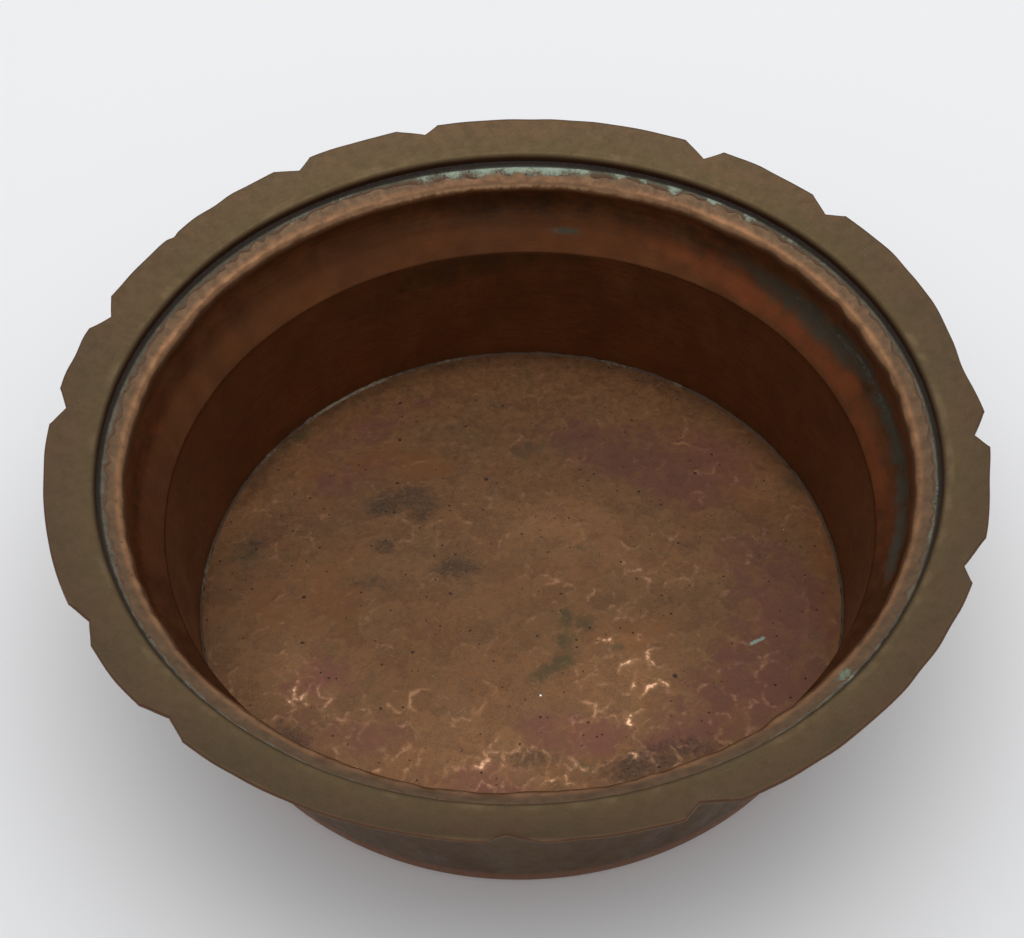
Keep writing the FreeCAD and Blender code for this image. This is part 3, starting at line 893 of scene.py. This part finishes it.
def rim_metal():
    look = Look("rim_patina", 0.72)
    broad = look.noise(32.0, 4.0, 0.6, 0.4)
    grain = look.noise(0.9, 3.0, 0.7)
    mottled = look.noise(5.0, 4.0, 0.65)
    along = look.painted("along")
    lines = look.most(look.scratches(0.35, 22.0, 24.0, 0.30), look.scratches(0.3, 16.0, 115.0, 0.29))
    lines = look.most(lines, look.scratches(0.3, 30.0, 70.0, 0.27))
    colour = look.mix(look.ramp(broad, 0.36, 0.64), (0.087, 0.055, 0.0255), (0.100, 0.057, 0.027))
    colour = look.layered(colour, (
        (look.ramp(mottled, 0.42, 0.74), 0.5, (0.076, 0.051, 0.024)),
        (look.ramp(grain, 0.45, 0.75), 0.35, (0.135, 0.090, 0.048)),
        (look.ramp(look.noise(18.0, 3.0, 0.6), 0.56, 0.76), 0.30, (0.074, 0.062, 0.028)),
        (look.ramp(along, 0.30, 0.70), 0.30, (0.096, 0.070, 0.024)),
        (lines, 0.30, (0.18, 0.125, 0.07)),
        (look.spots(9.0, 1.1, 0.35), 0.7, (0.05, 0.035, 0.02)),
    ))
    # painted light: the rim's colour is made up to 1.22 times lighter towards its far side (+Y)
    across = look.node("SeparateXYZ", {0: look.place})["Y"]
    colour = look.scaled(colour, look.ramp(across, 0.06, 0.19, 1.0, 1.22))
    wear_and_highlight = look.times(look.ramp(along, 0.62, 0.72), look.ramp(along, 0.84, 0.78))
    wear_and_highlight = look.times(wear_and_highlight, look.ramp(look.noise(14.0, 3.0), 0.45, 0.7))
    edge = look.most(look.painted("cut"), look.ramp(look.painted("edge"), 0.35, 0.8))
    colour = look.layered(colour, (
        # painted shade: the lower half of the collar's bend and its down-turned face are made near
        # black-brown
        (look.ramp(along, 0.82, 0.95), 1.0, (0.060, 0.022, 0.009)),
        (wear_and_highlight, 0.45, (0.19, 0.125, 0.065)),
        (edge, 0.75, (0.085, 0.036, 0.018)),
        (look.painted("outside"), look.ramp(broad, 0.3, 0.7, 0.5, 0.9), (0.15, 0.085, 0.045)),
    ))
    roughness = look.plus(look.ramp(mottled, 0.3, 0.7, 0.46, 0.58), look.times(lines, -0.12))
    height = look.plus(look.times(grain, 0.35), look.times(look.rings(1.6, 30.0), 0.3))
    return look.finish(colour, roughness, height, 0.10)


def shoulder_metal():
    look = Look("shoulder_copper", 0.8)
    broad = look.ramp(look.noise(24.0, 4.0, 0.6, 0.5), 0.35, 0.65)
    mottled = look.noise(4.0, 4.0, 0.65)
    lines = look.rings(1.8, 45.0)
    along = look.painted("along")
    belly = look.mix(broad, (0.084, 0.026, 0.0062), (0.108, 0.033, 0.0075))
    ledge = look.mix(look.ramp(mottled, 0.30, 0.70), (0.190, 0.098, 0.048), (0.130, 0.068, 0.037))
    outer = look.mix(broad, (0.18, 0.115, 0.065), (0.15, 0.085, 0.045))
    streak = look.grainy(look.painted("streak"), 9.0)
    thin = look.ramp(look.rings(0.9, 160.0), 0.50, 0.66)
    scrape = look.times(look.grainy(look.painted("scrape"), 4.0), thin)
    nose = look.ramp(look.painted("nose"), 0.30, 0.98)
    broken = look.ramp(look.noise(6.0, 5.0, 0.7), 0.34, 0.62, 0.30, 1.0)
    speckled = look.ramp(look.noise(4.0, 5.0, 0.7), 0.36, 0.60, 0.25, 1.0)
    verdigris = look.grainy(look.painted("green"), 2.4)
    colour = look.layered(look.mix(broad, (0.20, 0.078, 0.030), (0.26, 0.110, 0.042)), (
        (look.ramp(along, 0.52, 0.72), 1.0, belly),
        (look.ramp(lines, 0.45, 0.75), 0.35, (0.09, 0.034, 0.013)),
        (look.ramp(mottled, 0.55, 0.8), 0.4, (0.10, 0.042, 0.020)),
        # painted shade under the nose, with staining in it
        (look.grainy(look.painted("shade_and_stain"), 12.0), 0.75, (0.056, 0.035, 0.021)),
        (look.grainy(look.painted("red"), 8.0), 0.75, (0.175, 0.042, 0.0115)),
        (streak, 0.88, (0.070, 0.064, 0.045)),
        (scrape, 0.8, (0.20, 0.22, 0.18)),
        (look.ramp(along, 0.36, 0.30), 1.0, ledge),
        # painted highlight along the worn nose, and a brighter painted glint on its far side
        (nose, broken, (0.27, 0.135, 0.062)),
        (look.painted("bright"), speckled, (0.62, 0.36, 0.19)),
        (look.grainy(look.ramp(along, 0.27, 0.16), 3.0), 0.40, (0.095, 0.075, 0.045)),
        (verdigris, 0.9, (0.22, 0.31, 0.23)),
        (look.spots(6.0, 1.2, 0.3), 0.7, (0.04, 0.02, 0.012)),
        (look.painted("outside"), 1.0, outer),
    ))
    roughness = look.ramp(mottled, 0.3, 0.7, 0.40, 0.52)
    roughness = look.plus(roughness, look.times(look.most(verdigris, streak), 0.22))
    roughness = look.plus(roughness, look.times(nose, -0.10))
    height = look.plus(look.times(lines, 0.5), look.times(mottled, 0.5))
    return look.finish(colour, roughness, height, 0.12)


def wall_metal():
    look = Look("wall_copper", 0.8)
    broad = look.ramp(look.noise(30.0, 4.0, 0.6, 0.5), 0.35, 0.65)
    mottled = look.noise(5.0, 4.0, 0.65)
    lines = look.rings(1.5, 40.0)
    inner = look.layered(look.mix(broad, (0.165, 0.060, 0.021), (0.205, 0.075, 0.025)), (
        (look.ramp(lines, 0.42, 0.75), 0.5, (0.10, 0.037, 0.014)),
        # painted shade darkening the wall, strongest on the far side, with staining in it
        (look.grainy(look.painted("shade_and_stain"), 12.0), 0.75, (0.075, 0.042, 0.018)),
        (look.spots(11.0, 2.6, 0.35), 0.5, (0.05, 0.022, 0.012)),
    ))
    outer = look.layered(look.mix(broad, (0.138, 0.081, 0.037), (0.108, 0.056, 0.026)), (
        (look.ramp(lines, 0.40, 0.70), 0.55, (0.09, 0.052, 0.028)),
        (look.spots(13.0, 3.2, 0.4), 0.6, (0.07, 0.045, 0.03)),
        (look.ramp(look.painted("along"), 0.80, 0.86), 0.8, (0.26, 0.105, 0.045)),
    ))
    colour = look.mix(look.painted("outside"), inner, outer)
    height = look.plus(look.times(lines, 0.6), look.times(mottled, 0.4))
    return look.finish(colour, look.ramp(mottled, 0.3, 0.7, 0.36, 0.50), height, 0.12)


def floor_metal():
    look = Look("hammered_copper", 0.6)
    look.put(look.shader.inputs["Specular IOR Level"], 0.3)
    broad = look.noise(30.0, 5.0, 0.6, 0.6)
    mottled = look.noise(4.0, 6.0, 0.75)
    grain = look.noise(0.8, 3.0, 0.7)
    tone = look.painted("tone")
    patch = look.plus(look.times(tone, 0.40), look.times(look.plus(mottled, -0.5), 2.3))
    brown = look.mix(look.ramp(broad, 0.36, 0.64), (0.130, 0.056, 0.019), (0.114, 0.058, 0.022))
    darker = look.mix(0.35, brown, (0.062, 0.028, 0.016))
    lighter = look.mix(0.40, brown, (0.22, 0.104, 0.043))
    mauve = look.plus(look.painted("mauve"), look.plus(look.times(tone, -0.28), 0.16))
    green = look.grainy(look.painted("green"), 5.0)
    speckled = look.ramp(look.noise(1.4, 4.0, 0.7), 0.36, 0.62, 0.45, 1.0)
    dark = look.times(look.grainy(look.painted("dark"), 3.0), speckled)
    ragged = look.ramp(look.noise(3.5, 5.0, 0.7), 0.34, 0.62, 0.25, 1.0)
    # painted sheen and painted glints on the rims of the marks, strongest in the painted sheen zones; the
    # rims are also worn lighter
    sheen_zone = look.painted("sheen_zone")
    marks = look.times(look.painted("marks"), look.ramp(sheen_zone, 0.0, 0.8, 0.42, 1.0))
    marks = look.times(marks, ragged)
    polish_and_sheen = look.ramp(marks, 0.05, 0.75)
    glint = look.times(look.ramp(marks, 0.45, 0.80), look.ramp(sheen_zone, 0.55, 0.95))
    lines = look.most(look.scratches(0.4, 12.0, 35.0, 0.255), look.scratches(0.4, 9.0, -28.0, 0.25))
    pits = look.most(look.spots(3.6, 1.3, 0.40), look.spots(9.0, 2.4, 0.30))
    flake = look.uneven(look.painted("flake"), 1.2, 1.0, 0.40, 0.60)
    colour = look.layered(look.mix(look.ramp(patch, -0.20, 0.60), darker, lighter), (
        (look.ramp(grain, 0.40, 0.70), 0.45, (0.18, 0.100, 0.056)),
        (look.grainy(look.painted("warm"), 9.0), 0.62, (0.165, 0.064, 0.020)),
        (look.grainy(mauve, 6.0), 0.62, (0.118, 0.042, 0.033)),
        (green, 0.65, (0.058, 0.054, 0.026)),
        (dark, 0.68, (0.034, 0.026, 0.020)),
        (polish_and_sheen, 0.72, (0.32, 0.165, 0.088)),
        (glint, 0.8, (0.85, 0.52, 0.33)),
        (lines, 0.6, (0.30, 0.19, 0.12)),
        (pits, 0.9, (0.022, 0.016, 0.013)),
        (look.spots(21.0, 1.0, 0.5), 1.0, (0.85, 0.80, 0.72)),
        (flake, 1.0, (0.20, 0.24, 0.20)),
    ))
    # painted light: the floor's colour is made up to 1.35 times lighter towards the far side, the lift
    # ending in a thin band at the far edge
    side = look.painted("rim_side")
    far = look.times(look.ramp(side, 0.62, 0.95, 1.0, 1.35), look.ramp(side, 0.93, 0.99, 1.0, 0.75))
    # painted light: the pools make the floor's colour up to 1.55 times lighter
    painted_light_pools = look.ramp(look.painted("painted_light_pools"), 0.0, 1.0, 1.0, 1.55)
    colour = look.scaled(look.scaled(colour, far), painted_light_pools)
    roughness = look.plus(look.ramp(mottled, 0.3, 0.7, 0.46, 0.58), look.times(polish_and_sheen, -0.20))
    roughness = look.plus(roughness, look.times(look.most(dark, green), 0.12))
    height = look.plus(look.times(grain, 0.25), look.times(mottled, 0.5))
    height = look.plus(height, look.times(pits, -1.2))
    return look.finish(colour, roughness, height, 0.12)


def verdigris():
    look = Look("verdigris_solder", 0.2)
    broad = look.ramp(look.noise(9.0, 4.0, 0.6), 0.4, 0.62)
    crumbs = look.noise(1.3, 4.0, 0.7)
    fade = look.painted("fade")
    mint = look.grainy(look.plus(look.painted("mint"), look.times(fade, -0.3)), 2.0)
    colour = look.layered(look.mix(broad, (0.085, 0.070, 0.042), (0.130, 0.112, 0.072)), (
        (look.ramp(crumbs, 0.52, 0.70), 0.7, (0.17, 0.17, 0.125)),
        (look.uneven(fade, 2.0), 1.0, (0.125, 0.066, 0.034)),
        (mint, 0.95, (0.36, 0.44, 0.34)),
        (look.spots(2.6, 1.4, 0.40), 0.85, (0.035, 0.03, 0.02)),
        (look.painted("root"), 1.0, (0.022, 0.012, 0.007)),
    ))
    return look.finish(colour, look.ramp(crumbs, 0.3, 0.7, 0.65, 0.9), crumbs, 0.35)


def dull_solder():
    look = Look("dark_solder", 0.35)
    broad = look.ramp(look.noise(8.0, 4.0, 0.65), 0.42, 0.62)
    crumbs = look.noise(1.1, 4.0, 0.7)
    colour = look.layered(look.mix(broad, (0.058, 0.029, 0.014), (0.072, 0.038, 0.019)), (
        (look.ramp(crumbs, 0.50, 0.70), 0.35, (0.12, 0.080, 0.048)),
        (look.grainy(look.painted("pale"), 3.0), 0.85, (0.22, 0.18, 0.125)),
    ))
    return look.finish(colour, look.ramp(crumbs, 0.3, 0.7, 0.6, 0.85), crumbs, 0.3)


def floor_plane_look():
    return Look("pale_floor", 0.0).finish((0.87, 0.87, 0.88), 0.85)


# ---- assembly ----
def fit(piece, node, material):
    """Puts a finished piece in the place of its CAD node."""
    piece.data.materials.append(material)
    piece.data.set_sharp_from_angle(angle=math.radians(50))
    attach(piece, "root")
    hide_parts(node)


def make_bowl():
    solder = dull_solder()
    fit(make_rim(), "rim_flange", rim_metal())
    fit(make_shoulder(), "shoulder_band", shoulder_metal())
    fit(make_wall(), "wall_band", wall_metal())
    fit(make_floor(), "base_disc", floor_metal())
    fit(make_rim_seam(), "rim_solder", verdigris())
    fit(make_waist_seam(), "waist_solder", solder)
    fit(make_base_seam(), "base_solder", solder)


# ---- studio ----
CAMERA_PLACE = (-2.94, -572.5, 778.9)     # mm
CAMERA_DOWN = 50.08                       # degrees below level, looking along +Y
CAMERA_ROLL = -1.57
CAMERA_LENS = 68.3


def make_camera():
    down = math.radians(CAMERA_DOWN)
    roll = math.radians(CAMERA_ROLL)
    level = Vector((1, 0, 0))
    up = Vector((0, math.sin(down), math.cos(down)))
    back = Vector((0, -math.cos(down), math.sin(down)))
    right = level * math.cos(roll) + up * math.sin(roll)
    top = up * math.cos(roll) - level * math.sin(roll)
    data = bpy.data.cameras.new("camera")
    data.lens = CAMERA_LENS
    data.sensor_width = 36.0
    camera = bpy.data.objects.new("camera", data)
    bpy.context.scene.collection.objects.link(camera)
    columns = Matrix((right, top, back)).transposed().to_4x4()
    camera.matrix_world = Matrix.Translation(Vector(CAMERA_PLACE) * MM) @ columns
    bpy.context.scene.camera = camera


def make_floor_plane():
    half = 5.0
    corners = np.array([(-half, -half, 0), (half, -half, 0), (half, half, 0), (-half, half, 0)])
    plane = new_object("studio_floor", corners, [(0, 1, 2, 3)])
    plane.data.materials.append(floor_plane_look())


def softbox(name, place, size, power, target=(0, 0, 0.05)):
    data = bpy.data.lights.new(name, "AREA")
    data.shape = "RECTANGLE"
    data.size, data.size_y = size
    data.energy = power
    lamp = bpy.data.objects.new(name, data)
    lamp.location = place
    lamp.rotation_euler = (Vector(target) - Vector(place)).to_track_quat("-Z", "Y").to_euler()
    bpy.context.scene.collection.objects.link(lamp)


def make_lights():
    world = bpy.data.worlds.new("studio")
    world.use_nodes = True
    background = world.node_tree.nodes["Background"]
    background.inputs["Color"].default_value = (0.97, 0.985, 1.0, 1.0)
    background.inputs["Strength"].default_value = 0.63
    bpy.context.scene.world = world
    softbox("softbox_back", (0.25, 1.6, 1.5), (2.2, 1.0), 2.0)
    softbox("softbox_top", (0.0, 0.22, 2.3), (3.0, 2.4), 27.0)
    bpy.context.scene.view_settings.view_transform = "Standard"


make_camera()
make_bowl()
make_floor_plane()
make_lights()
